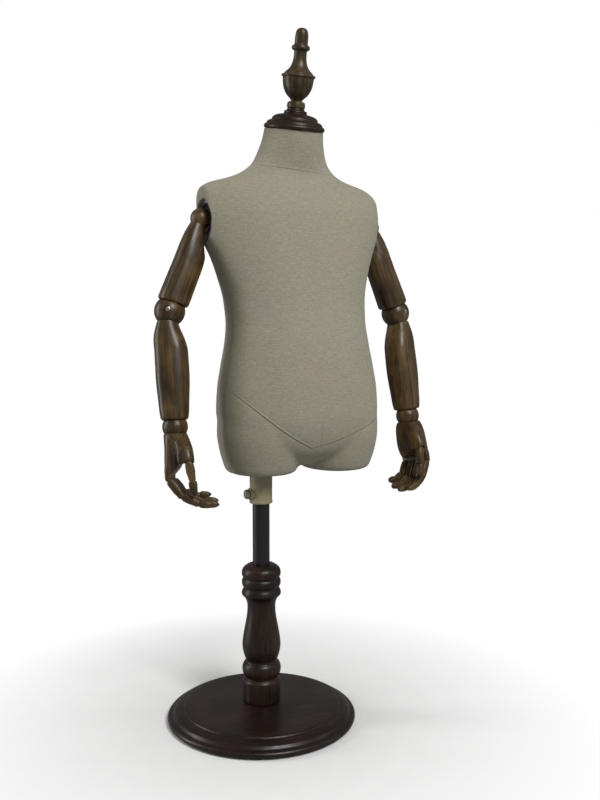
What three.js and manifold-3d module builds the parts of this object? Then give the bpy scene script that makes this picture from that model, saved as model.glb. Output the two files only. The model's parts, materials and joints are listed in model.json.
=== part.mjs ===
// Linen-covered child dress form on a turned wooden stand, with jointed wooden arms and hands.
// Millimetres, +Z up. The origin is the centre of the underside of the base, on the axis of the pole.
// The figure faces -Y, so its right side is towards -X. The pole stands under the right thigh.
import * as THREE from "three";
import { mergeVertices } from "three/addons/utils/BufferGeometryUtils.js";
import Module from "manifold-3d";

const wasm = await Module();
wasm.setup();

// ---- driving dimensions ----
const GAP = 0.3; // between pieces that touch

// stand
const BASE_R = 139;
const BASE_TOP = 22.5;
const FELT = 2;
const COLUMN_FOOT = BASE_TOP + 4.8;
const COLUMN_TOP = 233;
const POLE_R = 12.5;
const POLE_WALL = 1.5;
const POLE_BOTTOM = 74;
const POLE_TOP = 548;
const BOLT_R = 5;

// sleeve under the right thigh
const SLEEVE_R = 16.8;
const SLEEVE_BORE = POLE_R + 0.5;
const SLEEVE_BOTTOM = 324;
const SLEEVE_TOP = 402;
const CLAMP_Z = 338;
const KNOB_R = 7;

// torso
const MID_X = 60; // plane of symmetry of the torso
const THIGH_BOTTOM = 370;
const COVER = 1.8; // linen with its glued interlining
const CORE_BORE = POLE_R + 1.5; // radius of the core's bore above the sleeve
const CORE_BORE_TOP = POLE_TOP + 97; // leaves room for the pole with the torso at its lowest
const ARMHOLE = 137; // half distance between the flat sides of the shoulders
const OPENING = { y: 29, z: 732, hy: 31, hz: 31.5 }; // oval opening for the arm, and its half sizes
const PLATE_IN = 124;
const PLATE_OUT = 129.5;
const PLATE_BORE = 21.6; // radius of the hole in the plate for the shoulder cup
const CUP_FLOOR = 119.4;
const CUP_RIM_R = 23;
const NECK_TILT = 12; // degrees forward
const NECK_TOP = new THREE.Vector3(MID_X, 14, 867);

// arms
const SHOULDER = { out: 137.5, y: 33, z: 735 };
const SHOULDER_BALL_R = 15.2;
const ELBOW = { out: 185.5, y: 32, z: 603 };
const ELBOW_BALL_R = 22;
const FOREARM = 164; // elbow centre to wrist centre
const WRIST_BALL_R = 18;
const FOLD_FROM_FRONT = { right: 65, left: 64 }; // degrees towards the middle
const ELBOW_BEND = { right: 21.2, left: 19 };
const PALM_FROM_FRONT = 65; // degrees the palm turns towards the middle
const PALM = 71.5; // wrist centre to knuckles
const KNUCKLE_BACK = 10; // how far the knuckles stand behind the wrist centre
const FINGER_PITCH = 12.2;
const FINGER_W = 11.2;
const FINGER_T = 12.5;
const KNUCKLE_R = 5; // round end of a finger piece, about its hinge
const FINGER = { proximal: 30, middle: 25, distal: 25 };
const FINGER_BEND = { proximal: 34, middle: 27, distal: 18 };
const THUMB = { proximal: 19, distal: 25 };
const THUMB_BEND = { proximal: 9, distal: 1 };
const THUMB_AT = [20.8, 28.4, 54.5]; // first thumb hinge: towards the palm, across, down the hand

// ---- materials ----
const paint = (color, roughness, metalness = 0) =>
  new THREE.MeshStandardMaterial({ color, roughness, metalness });
const linen = () => paint(0x969380, 0.9);
const moulded = () => paint(0xb9a98a, 0.85);
const darkWood = () => paint(0x2a1a15, 0.4);
const armWood = () => paint(0x4a3522, 0.45);
const finialWood = () => paint(0x4b3c23, 0.4);
const blackSteel = () => paint(0x1e1e1f, 0.4, 0.3);
const screwSteel = () => paint(0x6d6a63, 0.35, 0.9);
const cream = () => paint(0x96916e, 0.6);
const felt = () => paint(0x1d2a20, 0.95);
const grey = () => paint(0x9c99a3, 0.6);

const group = new THREE.Group();
const deg = Math.PI / 180;

// ---- helpers ----
const solid = (geometry) => {
  const g = geometry.clone();
  g.deleteAttribute("normal");
  g.deleteAttribute("uv");
  const m = mergeVertices(g, 1e-4);
  return new wasm.Manifold(
    new wasm.Mesh({
      numProp: 3,
      vertProperties: m.attributes.position.array,
      triVerts: new Uint32Array(m.index.array),
    }),
  );
};

const geometryOf = (manifold) => {
  const m = manifold.getMesh();
  const g = new THREE.BufferGeometry();
  const p = new Float32Array(m.numVert * 3);
  for (let i = 0; i < m.numVert; i++) {
    p.set(m.vertProperties.subarray(i * m.numProp, i * m.numProp + 3), i * 3);
  }
  g.setAttribute("position", new THREE.BufferAttribute(p, 3));
  g.setIndex(new THREE.BufferAttribute(m.triVerts, 1));
  return g.toNonIndexed();
};

const add = (name, shape, material) => {
  const g = shape.isBufferGeometry ? shape : geometryOf(shape);
  g.computeVertexNormals();
  const mesh = new THREE.Mesh(g, material);
  mesh.name = name;
  group.add(mesh);
  return mesh;
};

// closed body through rings of points; every ring has the same count and turns the same way
const loft = (rings) => {
  const n = rings[0].length;
  const centre = (ring) =>
    ring.reduce((c, p) => c.add(p), new THREE.Vector3()).divideScalar(n);
  const tris = [];
  for (let k = 0; k + 1 < rings.length; k++) {
    for (let i = 0; i < n; i++) {
      const j = (i + 1) % n;
      tris.push(rings[k][i], rings[k][j], rings[k + 1][j]);
      tris.push(rings[k][i], rings[k + 1][j], rings[k + 1][i]);
    }
  }
  const first = centre(rings[0]);
  const last = centre(rings[rings.length - 1]);
  const end = rings[rings.length - 1];
  for (let i = 0; i < n; i++) {
    const j = (i + 1) % n;
    tris.push(first, rings[0][j], rings[0][i]);
    tris.push(last, end[i], end[j]);
  }
  let volume = 0;
  for (let i = 0; i < tris.length; i += 3) {
    volume += tris[i].dot(new THREE.Vector3().crossVectors(tris[i + 1], tris[i + 2]));
  }
  if (volume < 0) {
    for (let i = 0; i < tris.length; i += 3) {
      [tris[i + 1], tris[i + 2]] = [tris[i + 2], tris[i + 1]];
    }
  }
  return new THREE.BufferGeometry().setFromPoints(tris);
};

// body turned about Z from [radius, height] points, bottom to top
const turned = (profile, n = 24) =>
  loft(
    profile.map(([r, z]) =>
      [...Array(n).keys()].map((i) => {
        const a = (2 * Math.PI * i) / n;
        return new THREE.Vector3(r * Math.cos(a), r * Math.sin(a), z);
      }),
    ),
  );

const rod = (r, z0, z1, n = 24) => turned([[r, z0], [r, z1]], n);

const ball = (r, n = 20) => {
  const rows = Math.round(n / 2);
  const profile = [];
  for (let i = 0; i <= rows; i++) {
    const a = (Math.PI * i) / rows;
    profile.push([Math.max(r * Math.sin(a), 0.35), -r * Math.cos(a)]);
  }
  return turned(profile, n);
};

// frame with its Z along `down` and its X close to `across`
const frameAt = (origin, down, across) => {
  const z = down.clone().normalize();
  const x = across.clone().addScaledVector(z, -across.dot(z)).normalize();
  const y = new THREE.Vector3().crossVectors(z, x);
  return new THREE.Matrix4().makeBasis(x, y, z).setPosition(origin);
};

// a mirroring frame turns the faces round, so they are turned back
const placed = (geometry, matrix) => {
  const moved = geometry.clone().applyMatrix4(matrix);
  if (matrix.determinant() < 0) {
    const p = moved.getAttribute("position").array;
    for (let i = 0; i < p.length; i += 9) {
      for (let k = 3; k < 6; k++) [p[i + k], p[i + k + 3]] = [p[i + k + 3], p[i + k]];
    }
  }
  return solid(moved);
};

// ring with rounded corners, half sizes hx and hy, centred at (cx, cy, z)
const ring = (hx, hy, z, n = 16, power = 2.6, cx = 0, cy = 0) =>
  [...Array(n).keys()].map((i) => {
    const a = (2 * Math.PI * (i + 0.5)) / n;
    const c = Math.cos(a);
    const s = Math.sin(a);
    return new THREE.Vector3(
      cx + hx * Math.sign(c) * Math.abs(c) ** (2 / power),
      cy + hy * Math.sign(s) * Math.abs(s) ** (2 / power),
      z,
    );
  });

// ---- stand ----
const baseProfile = [
  [136, FELT + GAP],
  [138.3, 3.2],
  [BASE_R, 5],
  [BASE_R, 8],
  [137, 10.6],
  [132.2, 12],
  [130.6, 13.6],
  [128.4, 16.2],
  [122, 19],
  [115.6, 20.2],
  [114.6, 21.9],
  [112.5, BASE_TOP],
  [60, BASE_TOP + 2],
  [29, COLUMN_FOOT - GAP],
];
const baseHole = rod(BOLT_R + GAP, -5, 60, 16);
const counterbore = rod(13, -5, 10.5, 16);
add(
  "base_disc",
  solid(turned(baseProfile, 32)).subtract(solid(baseHole)).subtract(solid(counterbore)),
  darkWood(),
);
add("base_felt", turned([[122, 0], [122, FELT]], 32), felt());
add(
  "base_bolt",
  solid(turned([[9.5, 3.5], [9.5, 10.2], [4.7, 10.2], [4.7, 66]], 12)),
  screwSteel(),
);

const columnProfile = [
  [26.4, COLUMN_FOOT],
  [27.7, 29.5],
  [27.7, 58],
  [25.6, 61.2],
  [24, 63],
  [25.6, 66.5],
  [28, 71.5],
  [28.7, 76.5],
  [27.6, 82],
  [24, 87.5],
  [23.4, 90],
  [25.6, 96],
  [27.8, 104],
  [28.3, 111],
  [27.8, 120],
  [25, 136.5],
  [21.9, 153],
  [20.6, 168],
  [21.4, 176],
  [23.8, 182],
  [28.2, 187.5],
  [29, 191],
  [26.7, 199],
  [28.3, 204],
  [28.6, 209],
  [27, 213.2],
  [28.5, 218],
  [28.5, 223],
  [25.6, 228.5],
  [19, COLUMN_TOP],
];
const poleBore = rod(POLE_R + GAP, POLE_BOTTOM - 1, 300, 20);
const boltBore = rod(BOLT_R, 0, 68, 16);
add(
  "column",
  solid(turned(columnProfile, 16)).subtract(solid(poleBore)).subtract(solid(boltBore)),
  darkWood(),
);
add(
  "pole",
  solid(rod(POLE_R, POLE_BOTTOM, POLE_TOP, 20)).subtract(
    solid(rod(POLE_R - POLE_WALL, 0, 700, 20)),
  ),
  blackSteel(),
);

// ---- sleeve and its clamp screw ----
const knobFrame = frameAt(
  new THREE.Vector3(0, 0, CLAMP_Z),
  new THREE.Vector3(-1, 0, 0),
  new THREE.Vector3(0, 0, 1),
);
const boss = placed(rod(8.6, POLE_R + 2, SLEEVE_R + 2.2, 16), knobFrame);
add(
  "sleeve",
  solid(rod(SLEEVE_R, SLEEVE_BOTTOM, SLEEVE_TOP, 20))
    .add(boss)
    .subtract(solid(rod(SLEEVE_BORE, 0, 700, 20)))
    .subtract(placed(rod(3 + GAP, 5, 60, 12), knobFrame)),
  cream(),
);
add(
  "clamp_screw",
  placed(
    turned([[3, POLE_R + GAP + 0.3], [3, 19.3], [KNOB_R, 19.3], [KNOB_R, 24], [5.4, 26]], 14),
    knobFrame,
  ),
  cream(),
);

// ---- torso ----
// height, half width, front depth, back depth, centre of depth, roundness
const torsoStations = [
  [380, 38, 32, 38, 2, 2.2],
  [404, 92, 70, 76, 1, 2.3],
  [428, 113, 82, 85, 1, 2.35],
  [458, 121.5, 87, 87, 2, 2.4],
  [488, 120, 87, 85, 3, 2.4],
  [524, 114.5, 85, 79, 4, 2.4],
  [559, 108, 81, 74, 5, 2.4],
  [588, 105, 77, 73, 8, 2.4],
  [621, 107, 75, 72, 13, 2.4],
  [653, 115, 75, 69, 18, 2.35],
  [682, 125, 76, 64, 23, 2.3],
  [713, 138, 78, 60, 30, 2.3],
  [743, 144.5, 76, 58, 34, 2.35],
  [764, 144.5, 70, 56, 36, 2.35],
  [778, 139, 62, 53, 37, 2.35],
  [788, 124, 54, 49, 36, 2.3],
  [796, 97, 48, 47, 35, 2.2],
  [806, 74, 45, 46, 33, 2.1],
  [820, 58, 46, 47, 30, 2],
  [838, 49.5, 46.5, 47, 25, 2],
  [856, 44.8, 44.5, 44.5, 19, 2],
  [888, 42, 42, 42, 9, 2],
];
// height, half width, half depth
const thighStations = [
  [THIGH_BOTTOM, 44, 49],
  [THIGH_BOTTOM + 2, 48.5, 53.5],
  [THIGH_BOTTOM + 6, 51.5, 57],
  [THIGH_BOTTOM + 14, 54, 60.5],
  [THIGH_BOTTOM + 30, 58.5, 66],
  [THIGH_BOTTOM + 56, 62, 72],
  [THIGH_BOTTOM + 90, 60, 74],
];
const TORSO_SIDES = 20;
const torsoRing = ([z, a, f, b, y0, power], inset) =>
  [...Array(TORSO_SIDES).keys()].map((i) => {
    const t = (2 * Math.PI * (i + 0.5)) / TORSO_SIDES;
    const c = Math.cos(t);
    const s = Math.sin(t);
    const depth = (s < 0 ? f : b) - inset;
    return new THREE.Vector3(
      MID_X + (a - inset) * Math.sign(c) * Math.abs(c) ** (2 / power),
      y0 + depth * Math.sign(s) * Math.abs(s) ** (2 / power),
      z,
    );
  });
const torsoBody = (inset) => {
  const rows = torsoStations.map((s) => [...s]);
  rows[0][0] += inset;
  return solid(loft(rows.map((s) => torsoRing(s, inset))));
};
const thigh = (x, inset) => {
  const rows = thighStations.map((s) => [...s]);
  rows[0][0] += inset;
  rows[1][0] += inset;
  return solid(
    loft(rows.map(([z, a, b]) => ring(a - inset, b - inset, z, 14, 2.1, x, 0))),
  );
};
const form = (inset) =>
  torsoBody(inset).add(thigh(0, inset)).add(thigh(2 * MID_X, inset));

const box = (x0, x1, y0, y1, z0, z1) =>
  solid(
    new THREE.BoxGeometry(x1 - x0, y1 - y0, z1 - z0).toNonIndexed().translate(
      (x0 + x1) / 2,
      (y0 + y1) / 2,
      (z0 + z1) / 2,
    ),
  );
const neckFrame = new THREE.Matrix4()
  .makeRotationX(NECK_TILT * deg)
  .setPosition(NECK_TOP);
const aboveNeck = placed(
  new THREE.BoxGeometry(300, 300, 200).toNonIndexed().translate(0, 0, 100),
  neckFrame,
);
const flatSided = (body, halfWidth) =>
  body
    .subtract(box(MID_X - 400, MID_X - halfWidth, -300, 300, 658, 1000))
    .subtract(box(MID_X + halfWidth, MID_X + 400, -300, 300, 658, 1000));
const sleeveHole = solid(rod(SLEEVE_R + GAP, 300, SLEEVE_TOP + GAP, 20));

// body between two distances from the middle of the torso, on one side, with its axis along X
const sides = { right: -1, left: 1 };
const sideways = (side, y, z, geometry) => {
  const outwards = new THREE.Vector3(side, 0, 0);
  return placed(geometry, frameAt(new THREE.Vector3(MID_X, y, z), outwards, new THREE.Vector3(0, 0, 1)));
};
const oval = (side, margin, from, to) => {
  const section = (x) => ring(OPENING.hz + margin, OPENING.hy + margin, x, 24, 2);
  return sideways(side, OPENING.y, OPENING.z, loft([section(from), section(to)]));
};
const round = (side, r, from, to) => sideways(side, SHOULDER.y, SHOULDER.z, rod(r, from, to, 20));

let cover = flatSided(form(0), ARMHOLE)
  .subtract(flatSided(form(COVER), ARMHOLE - COVER))
  .subtract(aboveNeck)
  .subtract(sleeveHole);
let core = flatSided(form(COVER + GAP), ARMHOLE - COVER - GAP)
  .subtract(aboveNeck)
  .subtract(sleeveHole)
  .subtract(solid(rod(CORE_BORE, 300, CORE_BORE_TOP, 16)));
for (const side of Object.values(sides)) {
  cover = cover.subtract(oval(side, 0, PLATE_IN - 20, ARMHOLE + 20));
  core = core
    .subtract(oval(side, 0, PLATE_IN - GAP, ARMHOLE + 20))
    .subtract(round(side, PLATE_BORE, CUP_FLOOR - GAP, ARMHOLE + 20));
}
add("linen_cover", cover, linen());
add("torso_core", core, moulded());

// plate in each armhole, with a hole for the cup that holds the shoulder ball
for (const [name, side] of Object.entries(sides)) {
  add(
    `${name}_armhole_plate`,
    oval(side, -GAP, PLATE_IN, PLATE_OUT).subtract(round(side, PLATE_BORE, 100, 160)),
    grey(),
  );
}

// ---- neck cap and finial, turned about the tilted neck axis ----
const capProfile = [
  [40, GAP],
  [43.5, 1],
  [44.6, 3.5],
  [43.8, 6.5],
  [40.5, 10],
  [35.5, 13.5],
  [33.6, 14.5],
  [32.6, 17.5],
  [27.5, 20.8],
  [20.5, 22.6],
  [16.6, 24],
  [16, 27],
  [12.8, 28.5],
  [12.8, 31],
];
add(
  "neck_cap",
  placed(turned(capProfile, 20), neckFrame).subtract(
    placed(rod(4 + GAP, 20, 60, 12), neckFrame),
  ),
  darkWood(),
);
const finialProfile = [
  [4, 20.5],
  [4, 31 + GAP],
  [13, 31 + GAP],
  [13, 36],
  [12.8, 39.6],
  [8, 41],
  [11, 44.5],
  [16.4, 50],
  [20.6, 58.5],
  [22.4, 68.5],
  [22.6, 72.6],
  [24.5, 74],
  [24.5, 76.4],
  [20, 80],
  [13.6, 86],
  [10.4, 93],
  [9.3, 102],
  [9.3, 109],
  [12.8, 111.6],
  [12.8, 115],
  [9.8, 118],
  [9.5, 131],
  [8, 136.5],
  [3, 139.8],
];
add("finial", placed(turned(finialProfile, 12), neckFrame), finialWood());

// ---- arms ----
// hollow that clears a ball; its flats, not its corners, must stay outside the ball
const cup = (centre, r) =>
  placed(ball((r + 0.4) / Math.cos(Math.PI / 16) ** 2, 16), new THREE.Matrix4().setPosition(centre));

// A finger piece runs from its own hinge at 0 to the next one at `length`. It cups the round end
// before it and carries a round end of its own, so it folds without touching its neighbour.
const fingerSegment = (length, w, t, start, end) => {
  const half = w / 2;
  const rows = [];
  if (start === "cup") {
    rows.push([half, 0.25, KNUCKLE_R + 0.9]);
    rows.push([half, 4.1, KNUCKLE_R - 0.8]);
  } else {
    rows.push([half, 1.8, -5.6]);
    rows.push([half, 4.6, -3.6]);
    rows.push([half, t / 2 - 0.3, 0]);
  }
  rows.push([half, t / 2, 9]);
  if (end === "tip") {
    rows.push([half - 0.4, t / 2 - 1, length - 10]);
    rows.push([half - 1.4, t / 2 - 2.6, length - 4]);
    rows.push([half - 3.4, t / 2 - 4.4, length - 0.4]);
  } else {
    rows.push([half, t / 2 - 0.2, length - 8.5]);
    rows.push([half, KNUCKLE_R, length - 3]);
    rows.push([half, KNUCKLE_R - 0.8, length + 2.8]);
    rows.push([half, 1.6, length + KNUCKLE_R - 0.25]);
  }
  return loft(rows.map(([hx, hy, z]) => ring(hx, hy, z, 8, 4)));
};

for (const [name, side] of Object.entries(sides)) {
  const shoulder = new THREE.Vector3(MID_X + side * SHOULDER.out, SHOULDER.y, SHOULDER.z);
  const elbow = new THREE.Vector3(MID_X + side * ELBOW.out, ELBOW.y, ELBOW.z);
  const upper = elbow.clone().sub(shoulder);
  const upperLength = upper.length();
  upper.normalize();
  const front = (angle) =>
    new THREE.Vector3(-side * Math.sin(angle * deg), -Math.cos(angle * deg), 0);
  const foldTo = front(FOLD_FROM_FRONT[name]);
  foldTo.addScaledVector(upper, -foldTo.dot(upper)).normalize();
  const hinge = new THREE.Vector3().crossVectors(upper, foldTo);
  const bend = ELBOW_BEND[name] * deg;
  const lower = upper
    .clone()
    .multiplyScalar(Math.cos(bend))
    .addScaledVector(foldTo, Math.sin(bend));
  const wrist = elbow.clone().addScaledVector(lower, FOREARM);
  const palmar = front(PALM_FROM_FRONT);
  palmar.addScaledVector(lower, -palmar.dot(lower)).normalize();
  const across = new THREE.Vector3().crossVectors(palmar, lower).multiplyScalar(-side);
  if (across.y > 0) across.negate(); // towards the thumb side, which is the front

  const outwards = new THREE.Vector3(side, 0, 0);
  const cupOutside = turned(
    [
      [17, CUP_FLOOR],
      [PLATE_BORE - GAP, CUP_FLOOR + 5],
      [PLATE_BORE - GAP, PLATE_OUT + GAP],
      [CUP_RIM_R, PLATE_OUT + GAP],
      [CUP_RIM_R, PLATE_OUT + 1.8],
    ],
    20,
  );
  const cupInside = turned(
    [
      [12, CUP_FLOOR + 2],
      [20.2, CUP_FLOOR + 9],
      [20.2, PLATE_OUT + 10],
    ],
    20,
  );
  add(
    `${name}_shoulder_cup`,
    sideways(side, SHOULDER.y, SHOULDER.z, cupOutside).subtract(
      sideways(side, SHOULDER.y, SHOULDER.z, cupInside),
    ),
    blackSteel(),
  );
  const stub = sideways(
    side,
    SHOULDER.y,
    SHOULDER.z,
    rod(6, CUP_FLOOR + 2 + GAP, SHOULDER.out - 4, 12),
  );
  add(
    `${name}_shoulder_ball`,
    placed(ball(SHOULDER_BALL_R, 12), frameAt(shoulder, outwards, upper)).add(stub),
    armWood(),
  );

  // X is towards the body; the arm is fuller on that side below the shoulder
  const upperFrame = frameAt(shoulder, upper, outwards.clone().negate());
  const upperArm = loft([
    ring(10.4, 11.5, 8.5, 12, 2.2, -1.4),
    ring(12, 13, 16, 12, 2.3, -1.6),
    ring(14.8, 15.2, 27, 12, 2.4, -0.8),
    ring(16.6, 16.8, 37, 12, 2.4, 0),
    ring(18.4, 17.8, 44, 12, 2.4, 1.2),
    ring(20.2, 18.8, 52, 12, 2.4, 2.8),
    ring(21, 19.6, 62, 12, 2.4, 3.2),
    ring(21.6, 20.6, 92, 12, 2.4, 1.9),
    ring(22, 21.6, upperLength - 15.5, 12, 2.4, 0.4),
    ring(20.6, 20.4, upperLength - 13, 12, 2.4, 0.3),
  ]);
  add(
    `${name}_upper_arm`,
    placed(upperArm, upperFrame)
      .subtract(cup(shoulder, SHOULDER_BALL_R))
      .subtract(cup(elbow, ELBOW_BALL_R)),
    armWood(),
  );

  const pinFrame = frameAt(elbow, hinge.clone().multiplyScalar(-side), upper);
  const recess = placed(rod(4.8, 17.5, 40, 12), pinFrame);
  add(
    `${name}_elbow_ball`,
    placed(ball(ELBOW_BALL_R, 16), frameAt(elbow, upper, foldTo)).subtract(recess),
    armWood(),
  );
  add(`${name}_elbow_screw`, placed(rod(4.4, 17.8, 20.9, 12), pinFrame), screwSteel());

  const lowerFrame = frameAt(elbow, lower, palmar);
  // the side towards the fold is cut back to let the elbow bend
  const forearm = loft([
    ring(14.5, 16.5, 15, 12, 2.4, -4),
    ring(17.2, 18, 24, 12, 2.5, -4),
    ring(20.8, 20, 36, 12, 2.6, -3),
    ring(22.6, 21.2, 46, 12, 2.6, -1.6),
    ring(23.3, 21.8, 56, 12, 2.6, -0.4),
    ring(23.5, 22.5, 90, 12, 2.6),
    ring(21.4, 21, 128, 12, 2.5),
    ring(19.3, 19.3, FOREARM - 12.5, 12, 2.4),
    ring(17.8, 17.8, FOREARM - 10, 12, 2.3),
  ]);
  add(
    `${name}_forearm`,
    placed(forearm, lowerFrame)
      .subtract(cup(elbow, ELBOW_BALL_R))
      .subtract(cup(wrist, WRIST_BALL_R)),
    armWood(),
  );
  add(
    `${name}_wrist_ball`,
    placed(ball(WRIST_BALL_R, 12), frameAt(wrist, lower, palmar)),
    armWood(),
  );

  // hand frame: X towards the palm side, Y towards the thumb side, Z down the hand
  const handFrame = new THREE.Matrix4().makeBasis(palmar, across, lower).setPosition(wrist);
  const slab = loft([
    ring(16.6, 17, 9.5, 12, 2.3, 0, 0),
    ring(15.8, 20.5, 16, 12, 2.6, -0.4, 0),
    ring(13.6, 23.6, 30, 12, 3, -1.8, 0),
    ring(12.6, 24.6, 46, 12, 3.2, -3.2, 0),
    ring(10.4, 24.6, 55, 12, 3.4, -5.4, 0),
    ring(6.6, 24.4, 62, 12, 5, -8.8, 0),
    ring(KNUCKLE_R - 0.3, 24.2, PALM - 5, 12, 6, -KNUCKLE_BACK, 0),
    ring(KNUCKLE_R, 24.1, PALM, 12, 6, -KNUCKLE_BACK, 0),
    ring(KNUCKLE_R - 0.8, 24, PALM + 2.8, 12, 6, -KNUCKLE_BACK, 0),
    ring(1.6, 23.8, PALM + KNUCKLE_R - 0.25, 12, 6, -KNUCKLE_BACK, 0),
  ]);
  // ball of the thumb, with a groove across its end for the round top of the thumb
  const thumbBall = loft([
    ring(9, 10, 11, 12, 2.4, 8.2, 6),
    ring(10.6, 11, 20, 12, 2.6, 10.6, 13),
    ring(11.6, 12, 34, 12, 2.8, 14.2, 21),
    ring(11.8, 11.4, 46, 12, 3, 15.6, 24.4),
    ring(11, 10.8, 52.4, 12, 3.2, 16.2, 24.8),
  ]);
  const groove = turned([[KNUCKLE_R + 1.1, -FINGER_W / 2 - 0.4], [KNUCKLE_R + 1.1, 30]], 16)
    .rotateX(-Math.PI / 2)
    .translate(...THUMB_AT);
  add(
    `${name}_palm`,
    placed(slab, handFrame)
      .add(placed(thumbBall, handFrame))
      .subtract(cup(wrist, WRIST_BALL_R))
      .subtract(placed(groove, handFrame)),
    armWood(),
  );

  const walk = (label, from, start, turn, lengths, scale) => {
    let frame = handFrame.clone().multiply(new THREE.Matrix4().makeTranslation(...from));
    const parts = Object.keys(lengths);
    parts.forEach((part, i) => {
      frame.multiply(new THREE.Matrix4().makeRotationY(turn[part] * deg));
      const length = lengths[part] * scale;
      const end = i === parts.length - 1 ? "tip" : "barrel";
      const shape = fingerSegment(
        length,
        FINGER_W,
        FINGER_T - i * 0.6,
        i ? "cup" : start,
        end,
      ).rotateZ(Math.PI / 2);
      add(`${name}_${label}_${part}`, placed(shape, frame), armWood());
      frame = frame.clone().multiply(new THREE.Matrix4().makeTranslation(0, 0, length));
    });
  };
  const fingers = { index: 0.97, middle: 1.05, ring: 1, little: 0.82 };
  Object.entries(fingers).forEach(([label, scale], i) => {
    const y = (1.5 - i) * FINGER_PITCH;
    const extra = i * 1.5;
    const turn = {
      proximal: FINGER_BEND.proximal + extra,
      middle: FINGER_BEND.middle + extra,
      distal: FINGER_BEND.distal + extra,
    };
    walk(label, [-KNUCKLE_BACK, y, PALM], "cup", turn, FINGER, scale);
  });
  walk("thumb", THUMB_AT, "round", THUMB_BEND, THUMB, 1);
}

export default group;
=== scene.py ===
"""Looks of a linen-covered child dress form with jointed wooden arms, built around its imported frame.

Metres, +Z up. The origin is under the centre of the base, on the axis of the pole, and the figure
faces -Y. Lengths in the tables are millimetres, and MM turns them into metres.
"""

import json
import math

import bmesh
import bpy
import numpy as np
from mathutils import Matrix, Vector


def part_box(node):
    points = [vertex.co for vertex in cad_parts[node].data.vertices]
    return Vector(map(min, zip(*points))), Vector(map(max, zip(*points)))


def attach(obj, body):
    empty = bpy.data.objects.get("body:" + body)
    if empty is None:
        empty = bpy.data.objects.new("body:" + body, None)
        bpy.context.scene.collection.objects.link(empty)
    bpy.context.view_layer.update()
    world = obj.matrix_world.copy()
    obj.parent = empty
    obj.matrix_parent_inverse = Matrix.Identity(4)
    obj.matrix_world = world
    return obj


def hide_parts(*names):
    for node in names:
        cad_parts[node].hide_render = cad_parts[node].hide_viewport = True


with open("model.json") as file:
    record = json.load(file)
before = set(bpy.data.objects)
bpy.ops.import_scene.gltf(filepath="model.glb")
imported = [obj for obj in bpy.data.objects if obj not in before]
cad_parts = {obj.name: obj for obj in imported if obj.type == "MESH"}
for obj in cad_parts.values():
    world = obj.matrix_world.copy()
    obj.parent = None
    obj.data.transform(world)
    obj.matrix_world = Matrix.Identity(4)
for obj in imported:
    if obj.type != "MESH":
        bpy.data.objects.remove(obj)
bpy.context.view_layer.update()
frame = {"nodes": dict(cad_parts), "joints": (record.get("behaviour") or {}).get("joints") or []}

MM = 0.001
UP = Vector((0, 0, 1))
JOINTS = {joint["name"]: joint for joint in frame["joints"]}

# ---- driving dimensions, in millimetres ----
TORSO_MIDDLE = 60.0  # x of the plane of symmetry
COVER = 1.8  # linen with its interlining
SKIN_GAP = 0.3
ARMHOLE = 137.0  # half distance between the flat sides of the shoulders
SHOULDER_START = 658.0  # height above which the sides of the shoulders are flat
ARMHOLE_EDGE = 3.0  # how gently the cloth turns onto a flat side
NECK_TILT = 12.0  # degrees forward
NECK_TOP = Vector((TORSO_MIDDLE, 14, 867))
SLEEVE_R = 16.8
CUP_R = 21.3  # black cup round a shoulder ball, where it passes the plate
SHOULDER_BALL_R = 15.2
ELBOW_BALL_R = 22.0
WRIST_BALL_R = 18.0
STUB_R = 6.0  # round stub behind a shoulder ball
SEAT_R = 4.8  # hole for the screw in an elbow ball
KNUCKLE_R = 5.0
BALL_GAP = 0.4  # between a ball and its cup


# ---- numbers to curves ----
def eased(x, y, at):
    """Monotone cubic through the points (x, y), which never swings past them."""
    x, y, at = (np.asarray(v, float) for v in (x, y, at))
    step = np.diff(x)
    slope = np.diff(y) / step
    tangent = np.zeros(len(x))
    tangent[0], tangent[-1] = slope[0], slope[-1]
    for i in range(1, len(x) - 1):
        if slope[i - 1] * slope[i] > 0:
            a = 2 * step[i] + step[i - 1]
            b = step[i] + 2 * step[i - 1]
            tangent[i] = (a + b) / (a / slope[i - 1] + b / slope[i])
    k = np.clip(np.searchsorted(x, at) - 1, 0, len(step) - 1)
    t = (at - x[k]) / step[k]
    return (
        y[k] * (1 + 2 * t) * (1 - t) ** 2
        + y[k + 1] * t * t * (3 - 2 * t)
        + step[k] * tangent[k] * t * (1 - t) ** 2
        + step[k] * tangent[k + 1] * t * t * (t - 1)
    )


def eased_table(table, at):
    """The same for each column of a table whose first column is the place."""
    table = np.asarray(table, float)
    return [eased(table[:, 0], table[:, i], at) for i in range(1, table.shape[1])]


def softened(outline, sharp=38.0, fillet=0.45, parts=5):
    """A turned outline with its gentle bends made round and its sharp corners slightly broken."""
    points = [Vector(p) for p in outline]
    made = [points[0]]
    corner = [True]
    for before, here, after in zip(points, points[1:], points[2:]):
        corner.append((here - before).angle(after - here) > math.radians(sharp))
    corner.append(True)
    for i in range(len(points) - 1):
        a, b = points[i], points[i + 1]
        length = (b - a).length
        start = (b - a) if corner[i] else (b - points[i - 1]) * length / (
            length + (a - points[i - 1]).length
        )
        end = (b - a) if corner[i + 1] else (points[i + 2] - a) * length / (
            length + (points[i + 2] - b).length
        )
        cut_a = min(fillet / length, 0.3) if corner[i] and i else 0.0
        cut_b = min(fillet / length, 0.3) if corner[i + 1] and i + 2 < len(points) else 0.0
        for k in range(parts + 1):
            t = cut_a + (1 - cut_a - cut_b) * k / parts
            made.append(
                a * (1 + 2 * t) * (1 - t) ** 2
                + b * t * t * (3 - 2 * t)
                + start * t * (1 - t) ** 2
                + end * t * t * (t - 1)
            )
    made.append(points[-1])
    return [p for i, p in enumerate(made) if i == 0 or (p - made[i - 1]).length > 1e-3]


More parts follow.
